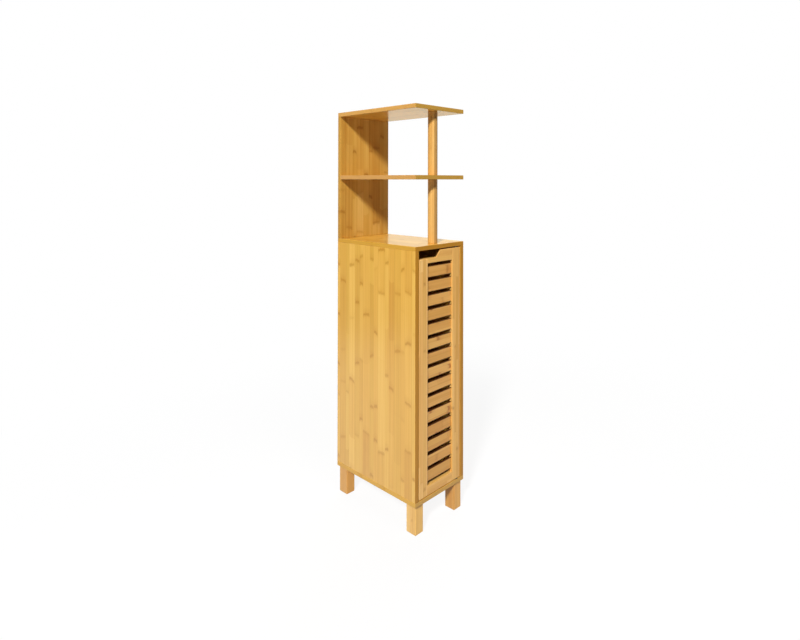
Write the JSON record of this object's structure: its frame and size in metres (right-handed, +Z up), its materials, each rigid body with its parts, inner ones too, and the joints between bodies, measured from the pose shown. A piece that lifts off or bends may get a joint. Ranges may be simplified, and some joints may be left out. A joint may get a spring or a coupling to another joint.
{
  "type": "narrow bathroom cabinet",
  "caption": "Tall narrow bamboo bathroom cabinet on short legs: open shelves on a back panel and a round post above a cupboard whose slatted door has a finger notch and swings on pivot pins.",
  "frame": {"origin": "on the floor at the centre of the footprint", "axes": "+Z up, +X across the narrow front to the right seen from the front, +Y from the door to the back panel"},
  "size_m": [0.12, 0.24, 0.77],
  "materials": {
    "bamboo_board": "clear semi-gloss lacquer",
    "bamboo_frame": "clear satin lacquer",
    "bamboo_slat": "clear satin lacquer",
    "bamboo_post": "clear satin lacquer",
    "bamboo_leg": "clear satin lacquer",
    "back_board": "clear lacquer",
    "beech_dowel": "raw",
    "zinc_steel": "zinc plated",
    "brown_nylon": "moulded",
    "catch_plastic": "moulded",
    "dark_magnet": "ferrite"
  },
  "bodies": {
    "cabinet": {"left_side_panel": "bamboo_board", "right_side_panel": "bamboo_board", "cabinet_top_panel": "bamboo_board", "cabinet_bottom_panel": "bamboo_board", "inner_shelf": "bamboo_board", "upper_back_panel": "bamboo_board", "middle_shelf": "bamboo_board", "top_shelf": "bamboo_board", "lower_post": "bamboo_post", "upper_post": "bamboo_post", "leg_front_left": "bamboo_leg", "leg_front_right": "bamboo_leg", "leg_back_left": "bamboo_leg", "leg_back_right": "bamboo_leg", "cabinet_back_board": "back_board", "carcass_dowels": "beech_dowel", "leg_dowels": "beech_dowel", "top_shelf_dowels": "beech_dowel", "shelf_pegs": "zinc_steel", "carcass_screws": "zinc_steel", "back_board_nails": "zinc_steel", "leg_screws": "zinc_steel", "post_stud": "zinc_steel", "post_screw": "zinc_steel", "upper_back_screws": "zinc_steel", "middle_shelf_screws": "zinc_steel", "catch_screws": "zinc_steel", "upper_pivot_bush": "brown_nylon", "lower_pivot_bush": "brown_nylon", "catch_housing": "catch_plastic", "catch_magnet": "dark_magnet"},
    "door": {"door_left_stile": "bamboo_frame", "door_right_stile": "bamboo_frame", "door_top_rail": "bamboo_frame", "door_bottom_rail": "bamboo_frame", "door_slat_01": "bamboo_slat", "door_slat_02": "bamboo_slat", "door_slat_03": "bamboo_slat", "door_slat_04": "bamboo_slat", "door_slat_05": "bamboo_slat", "door_slat_06": "bamboo_slat", "door_slat_07": "bamboo_slat", "door_slat_08": "bamboo_slat", "door_slat_09": "bamboo_slat", "door_slat_10": "bamboo_slat", "door_slat_11": "bamboo_slat", "door_slat_12": "bamboo_slat", "door_slat_13": "bamboo_slat", "door_slat_14": "bamboo_slat", "door_slat_15": "bamboo_slat", "door_dowels": "beech_dowel", "upper_pivot_pin": "zinc_steel", "lower_pivot_pin": "zinc_steel", "strike_plate": "zinc_steel", "strike_screws": "zinc_steel"}
  },
  "joints": [
    {"name": "door_hinge", "type": "hinge", "parent": "cabinet", "child": "door", "pos_m": [0.04247, -0.1151, 0], "axis": [0, 0, 1], "range_deg": [0, 110]}
  ]
}
